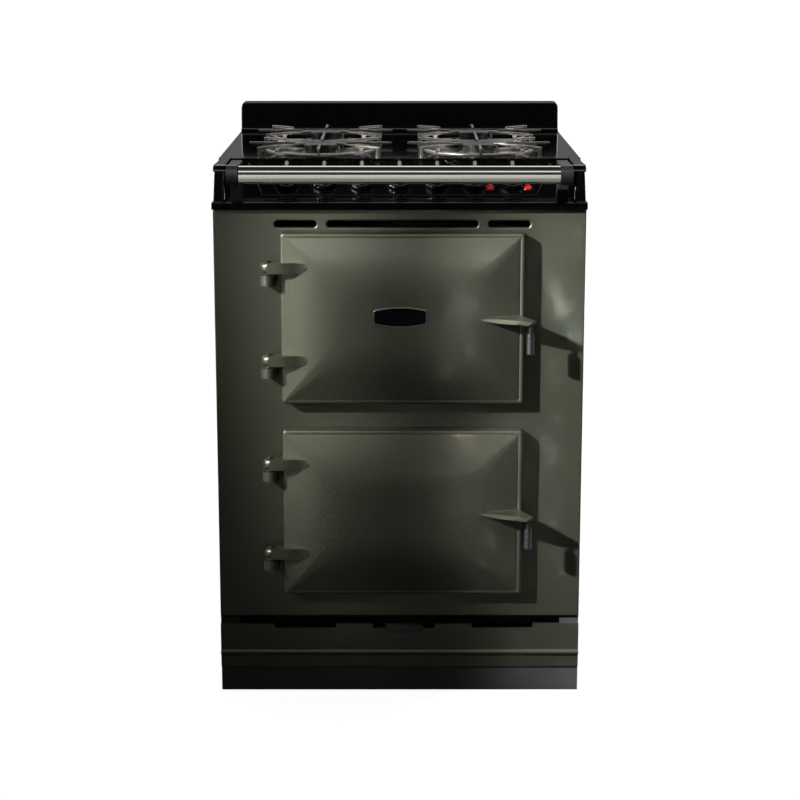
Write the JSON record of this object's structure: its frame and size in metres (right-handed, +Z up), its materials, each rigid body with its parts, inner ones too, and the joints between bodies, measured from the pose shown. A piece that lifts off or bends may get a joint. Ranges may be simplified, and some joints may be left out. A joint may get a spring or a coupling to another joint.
{
  "type": "range cooker",
  "caption": "Freestanding range cooker with gas hob, sloped control panel with knobs, front handrail, and side-hinged cast doors over stacked ovens.",
  "frame": {"origin": "on the floor, under the middle of the bounding box", "axes": "+X to the right as seen from the front, +Y to the back, +Z up; the doors face -Y"},
  "size_m": [0.602, 0.673, 0.945],
  "materials": {
    "pewter_enamel": "vitreous enamel, satin gloss",
    "black_enamel": "vitreous enamel, gloss",
    "satin_black": "satin",
    "oven_enamel": "vitreous enamel, gloss",
    "galvanised": "galvanised",
    "bright_steel": "polished",
    "chrome": "polished",
    "grate_iron": "enamelled, rubbed",
    "burner_alloy": "cast",
    "cap_enamel": "enamelled",
    "ceramic": "glazed",
    "knob_black": "gloss",
    "dull_plastic": "matte",
    "brass": "turned",
    "lens_red": "clear red",
    "mineral_wool": "felted",
    "seal_fibre": "woven",
    "magnet": "matte",
    "element_alloy": "dark"
  },
  "bodies": {
    "cooker": {"base_frame": "satin_black", "levelling_feet": "bright_steel", "plinth": "satin_black", "side_panels": "pewter_enamel", "back_panel": "galvanised", "front_plate": "pewter_enamel", "lower_vent_panel": "pewter_enamel", "panel_catch": "satin_black", "upper_oven_liner": "oven_enamel", "lower_oven_liner": "oven_enamel", "oven_insulation": "mineral_wool", "oven_shelves": "bright_steel", "upper_oven_elements": "element_alloy", "ring_element": "element_alloy", "fan_baffle": "oven_enamel", "fan_motor": "galvanised", "door_seals": "seal_fibre", "door_catches": "magnet", "hinge_knuckles": "pewter_enamel", "hinge_pins": "chrome", "hob_surround": "black_enamel", "hob_top": "black_enamel", "control_panel": "black_enamel", "splashback": "black_enamel", "burner_bodies": "burner_alloy", "burner_crowns": "burner_alloy", "spark_electrodes": "ceramic", "gas_taps": "burner_alloy", "oven_switches": "dull_plastic", "gas_manifold": "bright_steel", "neon_lenses": "lens_red", "handrail": "bright_steel", "handrail_brackets": "black_enamel", "terminal_block": "dull_plastic", "fasteners": "bright_steel"},
    "upper_door": {"upper_door_casting": "pewter_enamel", "upper_door_liner": "oven_enamel", "upper_door_handle": "chrome", "badge_plate": "chrome"},
    "lower_door": {"lower_door_casting": "pewter_enamel", "lower_door_liner": "oven_enamel", "lower_door_handle": "chrome"},
    "grill_knob": {"grill_knob": "knob_black"},
    "upper_oven_knob": {"upper_oven_knob": "knob_black"},
    "lower_oven_knob": {"lower_oven_knob": "knob_black"},
    "oven_fan": {"oven_fan": "burner_alloy"},
    "pan_support_left": {"pan_support_left": "grate_iron"},
    "pan_support_right": {"pan_support_right": "grate_iron"},
    "burner_cap_front_left": {"burner_cap_front_left": "cap_enamel"},
    "burner_cap_rear_left": {"burner_cap_rear_left": "cap_enamel"},
    "burner_cap_front_right": {"burner_cap_front_right": "cap_enamel"},
    "burner_cap_rear_right": {"burner_cap_rear_right": "cap_enamel"},
    "tap_spindle_1": {"tap_spindle_1": "brass"},
    "hob_knob_1": {"hob_knob_1": "knob_black"},
    "tap_spindle_2": {"tap_spindle_2": "brass"},
    "hob_knob_2": {"hob_knob_2": "knob_black"},
    "tap_spindle_3": {"tap_spindle_3": "brass"},
    "hob_knob_3": {"hob_knob_3": "knob_black"},
    "tap_spindle_4": {"tap_spindle_4": "brass"},
    "hob_knob_4": {"hob_knob_4": "knob_black"}
  },
  "joints": [
    {"name": "upper_door_hinge", "type": "hinge", "parent": "cooker", "child": "upper_door", "pos_m": [-0.211, -0.2885, 0.6465], "axis": [0, 0, -1], "range_deg": [0, 110]},
    {"name": "lower_door_hinge", "type": "hinge", "parent": "cooker", "child": "lower_door", "pos_m": [-0.211, -0.2885, 0.3215], "axis": [0, 0, -1], "range_deg": [0, 110]},
    {"name": "tap_1_turn", "type": "hinge", "parent": "cooker", "child": "tap_spindle_1", "pos_m": [-0.1839, -0.19472, 0.85523], "axis": [0, -0.562, 0.8271], "range_deg": [0, 180]},
    {"name": "hob_knob_1_push", "type": "slide", "parent": "tap_spindle_1", "child": "hob_knob_1", "axis": [0, 0.562, -0.8271], "range_m": [0, 0.003], "stiffness_N_per_m": 1200},
    {"name": "tap_2_turn", "type": "hinge", "parent": "cooker", "child": "tap_spindle_2", "pos_m": [-0.1226, -0.19472, 0.85523], "axis": [0, -0.562, 0.8271], "range_deg": [0, 180]},
    {"name": "hob_knob_2_push", "type": "slide", "parent": "tap_spindle_2", "child": "hob_knob_2", "axis": [0, 0.562, -0.8271], "range_m": [0, 0.003], "stiffness_N_per_m": 1200},
    {"name": "tap_3_turn", "type": "hinge", "parent": "cooker", "child": "tap_spindle_3", "pos_m": [-0.0613, -0.19472, 0.85523], "axis": [0, -0.562, 0.8271], "range_deg": [0, 180]},
    {"name": "hob_knob_3_push", "type": "slide", "parent": "tap_spindle_3", "child": "hob_knob_3", "axis": [0, 0.562, -0.8271], "range_m": [0, 0.003], "stiffness_N_per_m": 1200},
    {"name": "tap_4_turn", "type": "hinge", "parent": "cooker", "child": "tap_spindle_4", "pos_m": [0, -0.19472, 0.85523], "axis": [0, -0.562, 0.8271], "range_deg": [0, 180]},
    {"name": "hob_knob_4_push", "type": "slide", "parent": "tap_spindle_4", "child": "hob_knob_4", "axis": [0, 0.562, -0.8271], "range_m": [0, 0.003], "stiffness_N_per_m": 1200},
    {"name": "grill_knob_turn", "type": "hinge", "parent": "cooker", "child": "grill_knob", "pos_m": [0.0613, -0.19472, 0.85523], "axis": [0, 0.562, -0.8271], "range_deg": [0, 250]},
    {"name": "upper_oven_knob_turn", "type": "hinge", "parent": "cooker", "child": "upper_oven_knob", "pos_m": [0.1226, -0.19472, 0.85523], "axis": [0, 0.562, -0.8271], "range_deg": [0, 270]},
    {"name": "lower_oven_knob_turn", "type": "hinge", "parent": "cooker", "child": "lower_oven_knob", "pos_m": [0.1839, -0.19472, 0.85523], "axis": [0, 0.562, -0.8271], "range_deg": [0, 270]},
    {"name": "burner_cap_front_left_lift", "type": "slide", "parent": "cooker", "child": "burner_cap_front_left", "axis": [0, 0, 1], "range_m": [0, 0.1]},
    {"name": "burner_cap_rear_left_lift", "type": "slide", "parent": "cooker", "child": "burner_cap_rear_left", "axis": [0, 0, 1], "range_m": [0, 0.1]},
    {"name": "burner_cap_front_right_lift", "type": "slide", "parent": "cooker", "child": "burner_cap_front_right", "axis": [0, 0, 1], "range_m": [0, 0.1]},
    {"name": "burner_cap_rear_right_lift", "type": "slide", "parent": "cooker", "child": "burner_cap_rear_right", "axis": [0, 0, 1], "range_m": [0, 0.1]},
    {"name": "pan_support_left_lift", "type": "slide", "parent": "cooker", "child": "pan_support_left", "axis": [0, 0, 1], "range_m": [0, 0.1]},
    {"name": "pan_support_right_lift", "type": "slide", "parent": "cooker", "child": "pan_support_right", "axis": [0, 0, 1], "range_m": [0, 0.1]},
    {"name": "oven_fan_spin", "type": "hinge", "parent": "cooker", "child": "oven_fan", "pos_m": [0.005, 0.1425, 0.3215], "axis": [0, 1, 0], "continuous": true}
  ]
}
